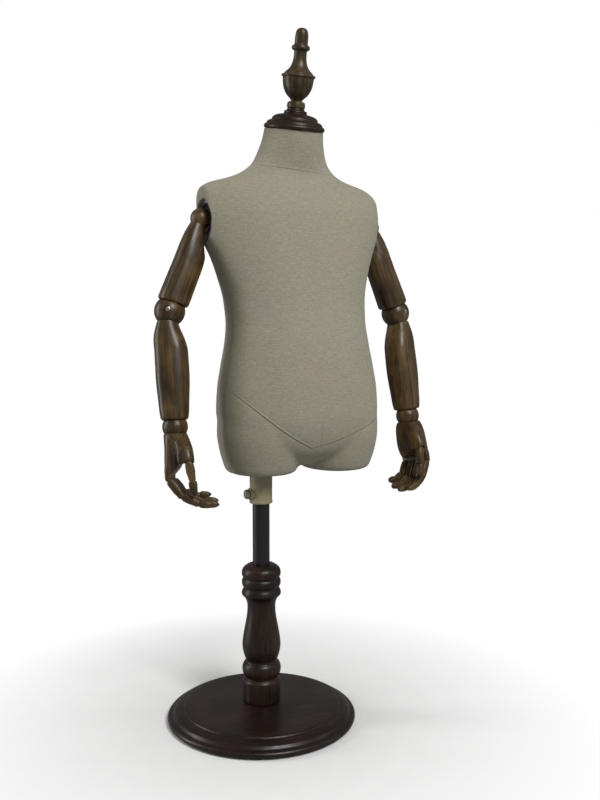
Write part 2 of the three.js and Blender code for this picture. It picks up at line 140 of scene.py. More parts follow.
def section(half_x, half_y, power, sides, centre=(0.0, 0.0)):
    """Points of a rounded section: power 2 is an ellipse, and a higher one is squarer."""
    t = 2 * np.pi * (np.arange(sides) + 0.5) / sides
    c, s = np.cos(t), np.sin(t)
    x = centre[0] + half_x * np.sign(c) * np.abs(c) ** (2 / power)
    y = centre[1] + half_y * np.sign(s) * np.abs(s) ** (2 / power)
    return np.stack([x, y], 1)


# ---- meshes ----
def mesh_object(name, points, faces, crease=32.0):
    mesh = bpy.data.meshes.new(name)
    mesh.from_pydata([tuple(p) for p in points], [], faces)
    mesh.validate()
    made = bpy.data.objects.new(name, mesh)
    bpy.context.scene.collection.objects.link(made)
    shade(made, crease)
    return made


def shade(obj, crease=32.0):
    """Smooth shading, with edges sharper than crease degrees kept crisp."""
    work = bmesh.new()
    work.from_mesh(obj.data)
    bmesh.ops.recalc_face_normals(work, faces=work.faces)
    for face in work.faces:
        face.smooth = True
    for edge in work.edges:
        edge.smooth = not (
            len(edge.link_faces) == 2
            and edge.calc_face_angle(0.0) > math.radians(crease)
        )
    work.to_mesh(obj.data)
    work.free()


def through_rows(name, rows, place=None, crease=32.0):
    """A closed body through rows of points, in millimetres, put in place by a matrix in metres."""
    sides = len(rows[0])
    points = [Vector(p) * MM for row in rows for p in row]
    faces = []
    for k in range(len(rows) - 1):
        for i in range(sides):
            j = (i + 1) % sides
            a, b = k * sides, (k + 1) * sides
            faces.append((a + i, a + j, b + j, b + i))
    for ring in (0, len(rows) - 1):
        middle = sum((points[ring * sides + i] for i in range(sides)), Vector()) / sides
        points.append(middle)
        for i in range(sides):
            faces.append((len(points) - 1, ring * sides + i, ring * sides + (i + 1) % sides))
    made = mesh_object(name, points, faces, crease)
    if place is not None:
        made.matrix_world = place
    return made


def turned(name, outline, place=None, sides=96, soft=True, crease=32.0):
    """A body turned about Z from [radius, height] points."""
    points = softened(outline) if soft else [Vector(p) for p in outline]
    angles = [2 * math.pi * i / sides for i in range(sides)]
    rows = [
        [(p.x * math.cos(a), p.x * math.sin(a), p.y) for a in angles] for p in points
    ]
    return through_rows(name, rows, place, crease)


def applied(obj):
    """Replaces obj's mesh by the result of its modifiers."""
    bpy.context.view_layer.update()
    graph = bpy.context.evaluated_depsgraph_get()
    mesh = bpy.data.meshes.new_from_object(obj.evaluated_get(graph))
    obj.modifiers.clear()
    obj.data = mesh
    return obj


def carved(obj, cutter):
    """Cuts cutter out of obj and removes it."""
    cut = obj.modifiers.new("cut", "BOOLEAN")
    cut.operation = "DIFFERENCE"
    cut.solver = "EXACT"
    cut.object = cutter
    applied(obj)
    bpy.data.objects.remove(cutter)
    shade(obj)
    return obj


def block(name, size, place):
    x, y, z = (0.5 * s for s in size)
    rows = [[(-x, -y, h), (x, -y, h), (x, y, h), (-x, y, h)] for h in (-z, z)]
    return through_rows(name, rows, place)


def placed_at(origin, down, towards):
    """A frame at origin, in metres, with Z along down and X close to towards."""
    z = Vector(down).normalized()
    x = Vector(towards)
    x = (x - z * x.dot(z)).normalized()
    y = z.cross(x)
    turn = Matrix((x, y, z)).transposed()
    return Matrix.Translation(Vector(origin)) @ turn.to_4x4()


def dress(piece, body, material, slot, *nodes):
    """Gives a piece its material and its body, and hides the CAD nodes it stands for. Its slot is not used.
    """
    piece.data.materials.clear()
    piece.data.materials.append(material)
    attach(piece, body)
    if nodes:
        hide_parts(*nodes)
    return piece


# ---- materials ----
class Graph:
    """A short way to write the nodes of a material."""

    def __init__(self, name):
        self.material = bpy.data.materials.new(name)
        self.material.use_nodes = True
        self.nodes = self.material.node_tree.nodes
        self.links = self.material.node_tree.links
        self.surface = self.nodes["Principled BSDF"]
        self.coordinates = self.nodes.new("ShaderNodeTexCoord")
        self.place = self.coordinates.outputs["Object"]

    def node(self, kind, inputs=None, **settings):
        made = self.nodes.new(kind)
        for key, value in settings.items():
            setattr(made, key, value)
        for key, value in (inputs or {}).items():
            self.put(made.inputs[key], value)
        return made

    def put(self, socket, value):
        if isinstance(value, bpy.types.NodeSocket):
            self.links.new(value, socket)
        else:
            socket.default_value = value

    def shader(self, **inputs):
        for key, value in inputs.items():
            self.put(self.surface.inputs[key.replace("_", " ")], value)

    def math(self, operation, a, b=0.0, c=0.0):
        made = self.node("ShaderNodeMath", {0: a, 1: b, 2: c}, operation=operation)
        return made.outputs[0]

    def stretched(self, scale, vector=None):
        made = self.node(
            "ShaderNodeMapping", {"Vector": vector or self.place, "Scale": scale}
        )
        return made.outputs[0]

    def noise(self, vector, scale, detail=3.0, roughness=0.55, distortion=0.0):
        made = self.node(
            "ShaderNodeTexNoise",
            {
                "Vector": vector,
                "Scale": scale,
                "Detail": detail,
                "Roughness": roughness,
                "Distortion": distortion,
            },
        )
        return made.outputs["Fac"]

    def ramp(self, factor, *stops):
        made = self.node("ShaderNodeValToRGB", {"Fac": factor})
        made.color_ramp.elements[0].position = stops[0][0]
        made.color_ramp.elements[-1].position = stops[-1][0]
        for position, _ in stops[1:-1]:
            made.color_ramp.elements.new(position)
        for element, (_, colour) in zip(made.color_ramp.elements, stops):
            value = colour if hasattr(colour, "__len__") else (colour,) * 3
            element.color = (*value, 1.0)
        return made.outputs["Color"]

    def between(self, factor, low, high):
        """low to high as factor goes from 0 to 1."""
        made = self.node(
            "ShaderNodeMapRange", {"Value": factor, "To Min": low, "To Max": high}
        )
        return made.outputs[0]

    def mixed(self, factor, a, b, kind="MIX"):
        made = self.node("ShaderNodeMix", data_type="RGBA", blend_type=kind)
        for index, value in ((0, factor), (6, a), (7, b)):
            if isinstance(value, tuple) and len(value) == 3:
                value = (*value, 1.0)
            self.put(made.inputs[index], value)
        return made.outputs[2]

    def bump(self, height, distance, strength=1.0, normal=None):
        inputs = {"Height": height, "Distance": distance, "Strength": strength}
        if normal is not None:
            inputs["Normal"] = normal
        return self.node("ShaderNodeBump", inputs).outputs[0]

    def bell(self, offset, width):
        """1 where offset is 0, falling to 0 a few widths away."""
        near = self.math("DIVIDE", offset, width)
        return self.math("POWER", math.e, self.math("MULTIPLY", self.math("MULTIPLY", near, near), -1.0))

    def attribute(self, name):
        return self.node("ShaderNodeAttribute", attribute_name=name).outputs["Fac"]


def wood_material(name, dark, middle, light, roughness, coat, grain=1.0, across=False):
    """Stained and varnished wood, with painted shade and grime darkening its hollows. The grain runs along
    Z, or along X where across is set.
    """
    g = Graph(name)
    own = g.node("ShaderNodeObjectInfo").outputs["Random"]
    shift = g.node("ShaderNodeCombineXYZ", {"X": own, "Y": own, "Z": own}).outputs[0]
    start = g.node("ShaderNodeVectorMath", {0: g.place, 1: shift}, operation="ADD").outputs[0]
    along = (0.05, 1.0, 1.0) if across else (1.0, 1.0, 0.05)
    finer = (0.02, 1.0, 1.0) if across else (1.0, 1.0, 0.02)
    streaks = g.noise(g.stretched(along, start), 210.0 * grain, 4.0, 0.6, 0.6)
    pores = g.noise(g.stretched(finer, start), 1400.0 * grain, 2.0, 0.5)
    clouds = g.noise(start, 22.0, 2.0, 0.5)
    tone = g.math("MULTIPLY_ADD", clouds, 0.55, g.math("MULTIPLY", streaks, 0.6))
    colour = g.ramp(tone, (0.38, dark), (0.56, middle), (0.74, light))
    pore_line = g.ramp(pores, (0.34, 0.45), (0.47, 1.0))
    colour = g.mixed(0.55, colour, pore_line, "MULTIPLY")
    edge = g.node("ShaderNodeNewGeometry").outputs["Pointiness"]
    worn = g.math("MULTIPLY", g.ramp(edge, (0.53, 0.0), (0.60, 1.0)), clouds)
    colour = g.mixed(g.math("MULTIPLY", worn, 0.7), colour, light)
    # darker in the hollows, found from pointiness: painted shade together with grime
    hollow_grime_and_shade = g.ramp(edge, (0.40, 1.0), (0.48, 0.0))
    colour = g.mixed(g.math("MULTIPLY", hollow_grime_and_shade, 0.75), colour, dark)
    smear = g.noise(start, 60.0, 3.0, 0.6)
    g.shader(
        Base_Color=colour,
        Roughness=g.between(smear, roughness - 0.06, roughness + 0.12),
        Coat_Weight=coat,
        Coat_Roughness=0.25,
        Specular_IOR_Level=0.3,
    )
    height = g.math("MULTIPLY_ADD", streaks, 0.4, g.math("MULTIPLY", pores, 0.6))
    g.shader(Normal=g.bump(height, 0.00022, 0.55))
    return g.material


def linen_material():
    """Unbleached linen: two sets of slubby threads, seams read from the mesh's attributes, with painted
    shade in each seam's groove and a painted highlight on the welt beside it.
    """
    g = Graph("linen_weave")
    split = g.node("ShaderNodeSeparateXYZ", {"Vector": g.place})
    facing = g.node(
        "ShaderNodeSeparateXYZ",
        {"Vector": g.node("ShaderNodeNewGeometry").outputs["Normal"]},
    )
    front = g.math("ABSOLUTE", facing.outputs["Y"])
    side = g.math("ABSOLUTE", facing.outputs["X"])
    is_side = g.math("GREATER_THAN", side, front)
    across = g.mixed(is_side, split.outputs["X"], split.outputs["Y"])
    around = g.node("ShaderNodeSeparateColor", {"Color": across}).outputs[0]
    cloth = g.node(
        "ShaderNodeCombineXYZ", {"X": around, "Y": split.outputs["Z"], "Z": 0.0}
    ).outputs[0]
    wander = g.noise(cloth, 90.0, 2.0)
    weft_line = g.math("MULTIPLY_ADD", wander, 0.0009, split.outputs["Z"])
    warp_line = g.math("MULTIPLY_ADD", wander, 0.0009, around)
    threads = 2 * math.pi / 0.00095
    weft = g.math("SINE", g.math("MULTIPLY", weft_line, threads))
    warp = g.math("SINE", g.math("MULTIPLY", warp_line, threads))
    weave = g.math("MULTIPLY", weft, warp)
    weft_slubs = g.noise(g.stretched((130.0, 900.0, 1.0), cloth), 1.0, 3.0, 0.6)
    warp_slubs = g.noise(g.stretched((900.0, 150.0, 1.0), cloth), 1.0, 3.0, 0.6)
    long_slubs = g.noise(g.stretched((45.0, 600.0, 1.0), cloth), 1.0, 2.0, 0.5)
    blotch = g.noise(g.place, 14.0, 3.0, 0.55)
    tone = g.math("MULTIPLY_ADD", weft_slubs, 0.46, g.math("MULTIPLY", warp_slubs, 0.36))
    tone = g.math("MULTIPLY_ADD", long_slubs, 0.18, tone)
    tone = g.math("MULTIPLY_ADD", weave, 0.035, tone)
    colour = g.ramp(
        tone,
        (0.36, LINEN_DARK),
        (0.50, LINEN),
        (0.64, LINEN_LIGHT),
    )
    cool = g.ramp(blotch, (0.38, (0.96, 0.965, 1.0)), (0.62, (1.0, 0.99, 0.96)))
    colour = g.mixed(1.0, colour, cool, "MULTIPLY")
    seam_groove_and_painted_shade, seam_welt_and_painted_highlight = 0.0, 0.0
    for name, width, strength in SEAM_LOOKS:
        distance = g.attribute("seam_" + name)
        shown = g.math("MULTIPLY", g.attribute("shown_" + name), strength)
        seam_groove_and_painted_shade = g.math("MAXIMUM", seam_groove_and_painted_shade, g.math("MULTIPLY", g.bell(distance, width * MM), shown))
        above = g.math("SUBTRACT", distance, WELT_ABOVE * MM)
        seam_welt_and_painted_highlight = g.math("MAXIMUM", seam_welt_and_painted_highlight, g.math("MULTIPLY", g.bell(above, WELT_WIDTH * MM), shown))
    # painted shade in the seam's groove, then a painted highlight on the welt above it
    colour = g.mixed(g.math("MULTIPLY", seam_groove_and_painted_shade, 0.48), colour, SEAM_PAINTED_SHADE)
    colour = g.mixed(g.math("MULTIPLY", seam_welt_and_painted_highlight, 0.6), colour, LINEN_LIGHT)
    g.shader(
        Base_Color=colour,
        Roughness=0.92,
        Sheen_Weight=0.12,
        Sheen_Roughness=0.5,
        Specular_IOR_Level=0.2,
    )
    cloth_height = g.math("MULTIPLY_ADD", weave, 0.35, g.math("ADD", weft_slubs, warp_slubs))
    fine = g.bump(cloth_height, 0.00028, 0.6)
    seam_height = g.math("SUBTRACT", g.math("MULTIPLY", seam_welt_and_painted_highlight, 0.5), seam_groove_and_painted_shade)
    g.shader(Normal=g.bump(seam_height, 0.0011, 0.9, fine))
    return g.material


def plastic_material(name, colour, roughness=0.5):
    """Moulded plastic or painted board with a faint mottle and scuffs."""
    g = Graph(name)
    mottle = g.noise(g.place, 55.0, 4.0, 0.6)
    scuffs = g.noise(g.stretched((1.0, 1.0, 7.0)), 260.0, 3.0, 0.7)
    shade_of = lambda f: tuple(c * f for c in colour)
    base = g.ramp(mottle, (0.35, shade_of(0.82)), (0.65, shade_of(1.12)))
    base = g.mixed(g.ramp(scuffs, (0.60, 0.0), (0.72, 0.35)), base, shade_of(0.55))
    g.shader(
        Base_Color=base,
        Roughness=g.between(scuffs, roughness - 0.1, roughness + 0.15),
        Specular_IOR_Level=0.45,
        Normal=g.bump(g.noise(g.place, 700.0, 2.0), 0.0001, 0.5),
    )
    return g.material


def steel_material(name, colour, metallic, roughness, scratch_axis=2):
    """Steel, painted or bare, with scratches along one axis of the piece."""
    g = Graph(name)
    scale = [1.0, 1.0, 1.0]
    scale[scratch_axis] = 0.03
    lines = g.noise(g.stretched(tuple(scale)), 1500.0, 3.0, 0.6)
    smudge = g.noise(g.place, 40.0, 3.0)
    shade_of = lambda f: tuple(min(c * f, 1.0) for c in colour)
    base = g.ramp(lines, (0.42, shade_of(0.8)), (0.70, shade_of(1.5)))
    g.shader(
        Base_Color=base,
        Metallic=metallic,
        Roughness=g.between(smudge, roughness - 0.08, roughness + 0.14),
        Normal=g.bump(lines, 0.00005, 0.4),
    )
    return g.material


def felt_material():
    g = Graph("base_felt_pile")
    pile = g.noise(g.place, 900.0, 3.0, 0.7)
    g.shader(
        Base_Color=g.ramp(pile, (0.3, (0.006, 0.012, 0.007)), (0.7, (0.02, 0.035, 0.022))),
        Roughness=0.95,
        Sheen_Weight=0.4,
        Normal=g.bump(pile, 0.0006, 0.8),
    )
    return g.material


LINEN = (0.310, 0.290, 0.215)
LINEN_DARK = (0.243, 0.226, 0.166)
LINEN_LIGHT = (0.380, 0.357, 0.270)
# colour of the painted shade in a seam's groove
SEAM_PAINTED_SHADE = (0.120, 0.110, 0.082)
WELT_ABOVE = 1.9  # the folded edge beside a seam, from it, in mm
WELT_WIDTH = 1.1
SEAM_LOOKS = (  # name, half width of the groove in mm, strength
    ("leg", 0.6, 0.95),
    ("neck", 0.6, 0.42),
    ("side", 0.75, 0.75),
    ("middle", 0.7, 0.35),
)

linen = linen_material()
arm_wood = wood_material(
    "arm_walnut_stain", (0.0085, 0.0048, 0.0020), (0.054, 0.0315, 0.0098), (0.138, 0.082, 0.025), 0.38, 0.2
)
dark_wood = wood_material(
    "base_mahogany_stain",
    (0.005, 0.0027, 0.0015),
    (0.0145, 0.0070, 0.0035),
    (0.034, 0.017, 0.008),
    0.38,
    0.06,
)
base_wood = wood_material(
    "base_mahogany_stain_across",
    (0.005, 0.0025, 0.0018),
    (0.012, 0.0056, 0.004),
    (0.026, 0.0115, 0.008),
    0.36,
    0.15,
    across=True,
)
finial_wood = wood_material(
    "finial_olive_stain", (0.010, 0.0065, 0.0025), (0.044, 0.029, 0.010), (0.110, 0.075, 0.026), 0.36, 0.12
)
cream = plastic_material("sleeve_cream", (0.28, 0.255, 0.145), 0.5)
grey_board = plastic_material("armhole_grey", (0.30, 0.29, 0.34), 0.65)
core_foam = plastic_material("core_rigid_foam", (0.42, 0.36, 0.24), 0.85)
pole_steel = steel_material("pole_black_steel", (0.006, 0.006, 0.007), 0.1, 0.34)
cup_steel = steel_material("cup_black_steel", (0.010, 0.010, 0.011), 0.3, 0.45, 0)
screw_steel = steel_material("screw_steel", (0.42, 0.41, 0.39), 1.0, 0.3, 0)
felt = felt_material()


# ---- stand ----
def stand():
    low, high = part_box("base_disc")
    rim, top = high.x / MM, high.z / MM
    bottom = low.z / MM
    outline = [
        (6, bottom), (rim - 4, bottom), (rim - 0.7, bottom + 0.9), (rim, bottom + 2.7),
        (rim, bottom + 5.7), (rim - 2, bottom + 8.3), (rim - 6.8, bottom + 9.7),
        (rim - 8.4, bottom + 11.3), (rim - 10.6, bottom + 13.9), (rim - 17, bottom + 16.7),
        (rim - 22.6, bottom + 17.6), (rim - 23.4, bottom + 17.9),
        (rim - 24.4, bottom + 19.6), (rim - 26.5, bottom + 20.2), (60, top - 2.5),
        (29, top - 0.1), (26, top - 0.1),
    ]
    dress(turned("base_disc_turned", outline, sides=192), "stand", base_wood, "dark_wood", "base_disc")

    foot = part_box("column")[0].z / MM
    outline = [
        (10, foot), (26.9, foot), (27.7, foot + 1.2), (27.7, 57.4), (27.0, 59.2),
        (25.4, 61.2), (24.0, 62.4), (24.0, 63.4), (25.4, 64.2), (25.6, 65.6), (27.4, 69.0),
        (28.5, 73.4), (28.6, 78.0), (27.3, 82.6), (25.2, 85.8), (24.2, 86.4), (23.4, 88.0),
        (23.5, 90.4), (25.6, 96), (27.6, 104), (28.3, 111), (27.8, 120), (25.1, 136.5),
        (22.0, 153), (20.7, 166), (21.2, 175.5), (23.6, 182), (26.6, 186.2), (28.4, 187.4),
        (29.0, 190.0), (28.2, 193.8), (26.6, 197.4), (26.4, 199.4), (27.2, 200.6),
        (28.4, 203.2), (28.7, 206.4), (28.2, 210), (26.9, 212.4), (26.9, 213.8),
        (28.2, 216.2), (28.8, 219.4), (28.4, 223.4), (26.6, 227.2), (23.6, 230),
        (18.6, 232.8), (13.0, 233),
    ]
    dress(turned("column_turned", outline, sides=128), "stand", dark_wood, "dark_wood", "column")

    low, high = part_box("pole")
    r = high.x / MM
    outline = [
        (r - 1.5, low.z / MM), (r, low.z / MM), (r, high.z / MM), (r - 1.5, high.z / MM),
        (r - 1.5, low.z / MM + 4),
    ]
    dress(turned("pole_tube", outline, sides=64), "pole", pole_steel, "black_steel", "pole")

    for node, material, slot in (
        ("base_felt", felt, "felt"),
        ("base_bolt", screw_steel, "bright_steel"),
    ):
        frame["nodes"][node].data.materials.clear()
        frame["nodes"][node].data.materials.append(material)


def sleeve():
    low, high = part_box("sleeve")
    bottom, top = low.z / MM, high.z / MM
    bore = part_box("pole")[1].x / MM + 0.5
    outline = [
        (bore, bottom + 1), (bore + 0.6, bottom), (SLEEVE_R - 0.5, bottom),
        (SLEEVE_R + 0.2, bottom + 0.8), (SLEEVE_R + 0.2, bottom + 3.4),
        (SLEEVE_R - 0.4, bottom + 4.2), (SLEEVE_R - 0.2, bottom + 40), (SLEEVE_R, top - 1),
        (SLEEVE_R - 1, top), (bore, top),
    ]
    tube = turned("sleeve_tube", outline, sides=72)
    dress(tube, "torso", cream, "cream_plastic", "sleeve")
    screw = Vector(JOINTS["clamp_screw_turn"]["pos_m"])
    axis = Vector((0, 0, screw.z))
    outward = placed_at(axis, (-1, 0, 0), UP)
    boss = turned(
        "sleeve_boss",
        [(3.6, 14.0), (10.6, 14.0), (9.4, 16.6), (8.6, 17.6), (8.4, 18.9), (3.6, 18.9)],
        outward,
        sides=48,
    )
    dress(boss, "torso", cream, "cream_plastic")
    sides = 96
    rows = []
    outline = softened(
        [(3, 13.2), (3, 19.3), (6.2, 19.3), (7, 20.0), (7, 23.4), (6.0, 25.2), (3.4, 26.0), (0.4, 26.1)]
    )
    for p in outline:
        ribbed = 19.6 < p.y < 24.4
        row = []
        for i in range(sides):
            a = 2 * math.pi * i / sides
            r = p.x - (0.35 * (0.5 + 0.5 * math.cos(16 * a)) if ribbed else 0)
            row.append((r * math.cos(a), r * math.sin(a), p.y))
        rows.append(row)
    knob = through_rows("clamp_knob", rows, outward)
    dress(knob, "clamp_screw", cream, "cream_plastic", "clamp_screw")


# ---- torso ----
TORSO = [  # height, half width, front depth, back depth, centre of depth, roundness
    (380, 38, 32, 38, 2, 2.2),
    (404, 92, 70, 76, 1, 2.3),
    (428, 113, 82, 85, 1, 2.35),
    (458, 121.5, 87, 87, 2, 2.4),
    (488, 120, 87, 85, 3, 2.4),
    (524, 114.5, 85, 79, 4, 2.4),
    (559, 108, 81, 74, 5, 2.4),
    (588, 105, 77, 73, 8, 2.4),
    (621, 107, 75, 72, 13, 2.4),
    (653, 115, 75, 69, 18, 2.35),
    (682, 125, 76, 64, 23, 2.3),
    (713, 138, 78, 60, 30, 2.3),
    (743, 144.5, 76, 58, 34, 2.35),
    (764, 144.5, 70, 56, 36, 2.35),
    (778, 139, 62, 53, 37, 2.35),
    (788, 124, 54, 49, 36, 2.3),
    (796, 97, 48, 47, 35, 2.2),
    (806, 74, 45, 46, 33, 2.1),
    (820, 58, 46, 47, 30, 2),
    (838, 49.5, 46.5, 47, 25, 2),
    (856, 44.8, 44.5, 44.5, 19, 2),
    (888, 42, 42, 42, 9, 2),
]
THIGH = [  # height, half width, half depth
    (370, 44, 49),
    (371, 47, 52),
    (374, 50.5, 55.8),
    (384, 54, 60.5),
    (400, 58.5, 66),
    (426, 62, 72),
    (460, 60, 74),
]
SIDES = {"right": -1, "left": 1}
VOXEL = 2.6
LEG_SEAM_VERTEX = (-12.0, 409.3)  # from the middle, and height, where the leg seams meet
RELAXED = 0.175  # gentle unevenness of the cloth, in mm
PULL = 0.7  # how far a seam draws the cloth in


def torso_rows(sides=120):
    t = 2 * np.pi * (np.arange(sides) + 0.5) / sides
    c, s = np.cos(t), np.sin(t)
    heights = np.arange(TORSO[0][0], TORSO[-1][0] + 0.1, 3.0)
    rows = []
    for z, a, f, b, y0, p in zip(heights, *eased_table(TORSO, heights)):
        x = TORSO_MIDDLE + a * np.sign(c) * np.abs(c) ** (2 / p)
        y = y0 + np.where(s < 0, f, b) * np.sign(s) * np.abs(s) ** (2 / p)
        rows.append(np.stack([x, y, np.full(sides, z)], 1))
    return rows


def thigh_rows(x):
    heights = [*np.arange(370, 376, 0.8), *np.arange(376, 460.1, 4)]
    rows = []
    for z, hx, hy in zip(heights, *eased_table(THIGH, heights)):
        flat = section(hx, hy, 2.1, 72, (x, 0))
        rows.append(np.column_stack([flat, np.full(72, z)]))
    return rows


def smoothed(mesh, rounds, share=0.5):
    """Moves each vertex towards the mean of its neighbours."""
    count = len(mesh.vertices)
    co = np.zeros(count * 3)
    mesh.vertices.foreach_get("co", co)
    co = co.reshape(-1, 3)
    edges = np.zeros(len(mesh.edges) * 2, int)
    mesh.edges.foreach_get("vertices", edges)
    a, b = edges.reshape(-1, 2).T
    links = np.bincount(np.r_[a, b], minlength=count)[:, None]
    for _ in range(rounds):
        total = np.zeros_like(co)
        for axis in range(3):
            total[:, axis] = np.bincount(a, co[b, axis], count) + np.bincount(
                b, co[a, axis], count
            )
        co += share * (total / links - co)
    mesh.vertices.foreach_set("co", co.ravel())
    mesh.update()


def body_form():
    """The whole body as one closed surface, in metres."""
    parts = [
        through_rows("torso_part", torso_rows()),
        through_rows("thigh_part_right", thigh_rows(0)),
        through_rows("thigh_part_left", thigh_rows(2 * TORSO_MIDDLE)),
    ]
    work = bmesh.new()
    for part in parts:
        work.from_mesh(part.data)
        bpy.data.objects.remove(part)
    mesh = bpy.data.meshes.new("body_form")
    work.to_mesh(mesh)
    work.free()
    form = bpy.data.objects.new("body_form", mesh)
    bpy.context.scene.collection.objects.link(form)
    remesh = form.modifiers.new("remesh", "REMESH")
    remesh.mode = "VOXEL"
    remesh.voxel_size = VOXEL * MM
    applied(form)
    smoothed(form.data, 5)
    return form


def cut_away(mesh, point, normal):
    """Removes what lies beyond a plane, in millimetres."""
    work = bmesh.new()
    work.from_mesh(mesh)
    bmesh.ops.bisect_plane(
        work,
        geom=work.verts[:] + work.edges[:] + work.faces[:],
        plane_co=Vector(point) * MM,
        plane_no=normal,
        clear_outer=True,
        dist=1e-6,
    )
    work.to_mesh(mesh)
    work.free()


def seam_distances(co, normals):
    """For each seam, the signed distance of each vertex from it and how strongly it shows."""
    x, y, z = (co[:, i] for i in range(3))
    across = x - TORSO_MIDDLE
    heights = np.clip(z, TORSO[0][0], TORSO[-1][0])
    centre = eased([r[0] for r in TORSO], [r[4] for r in TORSO], heights)
    reach = np.abs(across)
    from_vertex = np.abs(across - LEG_SEAM_VERTEX[0])
    on_right = across < LEG_SEAM_VERTEX[0]
    rise = np.where(
        on_right,
        0.44 * from_vertex + 0.0031 * from_vertex**2,
        0.22 * from_vertex + 0.001 * from_vertex**2,
    )
    leg = (z - LEG_SEAM_VERTEX[1] - rise) / np.hypot(1, np.where(on_right, 0.8, 0.35))
    neck = z - (805 - 0.07 * across + 0.18 * (y + 12))
    side = y - (centre - 10)
    below_neck = np.clip((805 - z) / 6, 0, 1)
    return {
        "leg": (leg, np.where(on_right, 1.0, 0.6) * np.clip((118 - reach) / 22, 0.15, 1)),
        "neck": (neck, np.ones(len(z))),
        "side": (side, below_neck * np.clip((reach - 30) / 10, 0, 1) * (np.abs(normals[:, 2]) < 0.97)),
        "middle": (
            across,
            np.where(y < centre, np.clip((476 - z) / 40, 0, 1), 1.0) * np.clip((z - 400) / 8, 0, 1),
        ),
    }


def vertex_arrays(mesh):
    co = np.zeros(len(mesh.vertices) * 3)
    mesh.vertices.foreach_get("co", co)
    normals = np.zeros(len(mesh.vertices) * 3)
    mesh.vertex_normals.foreach_get("vector", normals)
    return co.reshape(-1, 3), normals.reshape(-1, 3)


def draw_in_seams(mesh):
    """Pulls the cloth in along its seams, with a little pucker where the stitches hold it."""
    co, normals = vertex_arrays(mesh)
    seams = seam_distances(co / MM, normals)
    depth = np.zeros(len(co))
    for name, _, strength in SEAM_LOOKS:
        distance, shown = seams[name]
        run = co[:, 2] + 0.7 * co[:, 0]
        pucker = 1 + 0.25 * np.sin(run / 0.0065)
        depth += PULL * strength * shown * pucker * np.exp(-((distance / 4.5) ** 2))
    x, y, z = (co[:, i] for i in range(3))
    relaxed = RELAXED * np.sin(z * 61 + 3 * np.sin(x * 37)) * np.cos(x * 43 + y * 29)
    co -= normals * ((depth + relaxed)[:, None]) * MM
    mesh.vertices.foreach_set("co", co.ravel())
    mesh.update()


def store_seams(mesh):
    co, normals = vertex_arrays(mesh)
    for name, (distance, shown) in seam_distances(co / MM, normals).items():
        for label, values in (("seam_", distance * MM), ("shown_", shown)):
            layer = mesh.attributes.new(label + name, "FLOAT", "POINT")
            layer.data.foreach_set("value", values.astype(np.float32))


def sleeve_hole(work):
    """Opens the underside of the right thigh for the sleeve."""
    r = (SLEEVE_R + SKIN_GAP) * MM
    underside = (THIGH[0][0] + 4) * MM
    centres = {f: f.calc_center_median() for f in work.faces}
    inside = [f for f, c in centres.items() if c.z < underside and c.xy.length < r]
    bmesh.ops.delete(work, geom=inside, context="FACES")
    for v in work.verts:
        if v.is_boundary and v.co.z < underside and v.co.xy.length < 3 * r:
            v.co.xy = v.co.xy.normalized() * r


def armhole(name):
    """Middle and half sizes of an armhole, across it and up, in millimetres."""
    low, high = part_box(name + "_armhole_plate")
    middle, half = (low + high) * 0.5 / MM, (high - low) * 0.5 / MM
    return middle, half.y + SKIN_GAP, half.z + SKIN_GAP


def oval_rows(middle, half_y, half_z, stations, sides=96):
    """Rows of an oval body across X, from (x, inset) stations."""
    turn = [2 * math.pi * i / sides for i in range(sides)]
    return [
        [
            (x, middle.y + (half_y - inset) * math.cos(a), middle.z + (half_z - inset) * math.sin(a))
            for a in turn
        ]
        for x, inset in stations
    ]


def in_oval(face, x, middle, half_y, half_z):
    """Whether a face lies at x within an oval."""
    centre = face.calc_center_median() / MM
    out = math.hypot((centre.y - middle.y) / half_y, (centre.z - middle.z) / half_z)
    return abs(centre.x - x) < 0.05 and out < 1


def flatten_shoulders(mesh):
    """Lays the cloth flat on the ends of the shoulders, with a softly rounded edge."""
    co, _ = vertex_arrays(mesh)
    across = co[:, 0] / MM - TORSO_MIDDLE
    start = ARMHOLE - ARMHOLE_EDGE
    beyond = np.clip(np.abs(across) - start, 0, None) * (co[:, 2] > SHOULDER_START * MM)
    kept = np.abs(across) - beyond + ARMHOLE_EDGE * (1 - np.exp(-beyond / ARMHOLE_EDGE))
    co[:, 0] = (TORSO_MIDDLE + np.sign(across) * kept) * MM
    mesh.vertices.foreach_set("co", co.ravel())
    mesh.update()


def open_armholes(form):
    """Cuts the oval openings; the cloth turns in round their edges down to the plates."""
    for name, side in SIDES.items():
        middle, half_y, half_z = armhole(name)
        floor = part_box(name + "_armhole_plate")[0 if side > 0 else 1].x / MM
        stations = [(floor, 0), (TORSO_MIDDLE + side * (ARMHOLE - 1.4), 0)]
        stations += [
            (TORSO_MIDDLE + side * (ARMHOLE - 1.4 + 1.6 * math.sin(a)), 1.3 * (math.cos(a) - 1))
            for a in (0.5, 0.9, 1.25)
        ]
        last = stations[-1]
        stations.append((TORSO_MIDDLE + side * (ARMHOLE + 15), last[1]))
        carved(form, through_rows("armhole", oval_rows(middle, half_y, half_z, stations)))
        work = bmesh.new()
        work.from_mesh(form.data)
        deep = [f for f in work.faces if in_oval(f, floor, middle, half_y, half_z)]
        bmesh.ops.delete(work, geom=deep, context="FACES")
        work.to_mesh(form.data)
        work.free()


